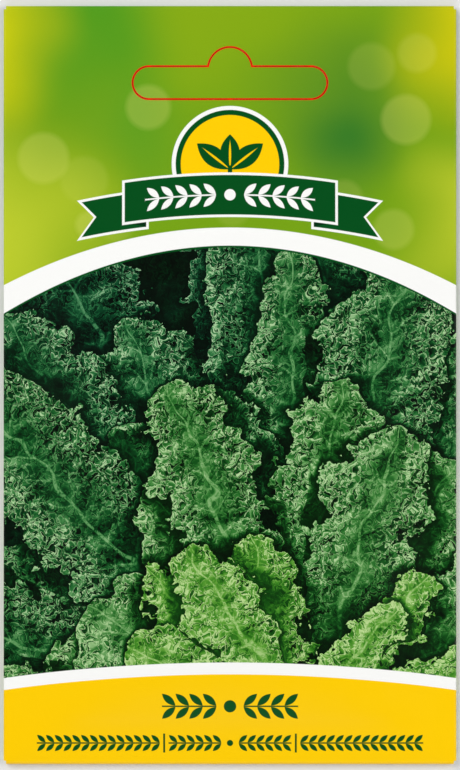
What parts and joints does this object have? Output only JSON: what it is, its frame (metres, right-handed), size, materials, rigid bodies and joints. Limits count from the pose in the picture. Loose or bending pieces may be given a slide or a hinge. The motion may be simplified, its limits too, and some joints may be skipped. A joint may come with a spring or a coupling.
{
  "type": "seed packet",
  "caption": "Flat paper seed packet with a perforated hang slot, lying on its lapped and glued back, holding a sealed foil sachet of loose seeds.",
  "frame": {"origin": "on the table under the middle of the packet, which lies on its back with the printed front up", "axes": "+X to the right of the printed front, +Y towards the hang slot, +Z out of the printed front"},
  "size_m": [0.08, 0.134, 0.0046],
  "materials": {
    "printed_paper": "coated paper, satin, printed outside and plain white inside",
    "sachet_foil": "satin foil with a sealed rim",
    "seed_coat": "matt dark brown seed coat"
  },
  "bodies": {
    "root": {"paper_packet": "printed_paper", "foil_sachet": "sachet_foil", "seeds": "seed_coat"}
  },
  "joints": []
}
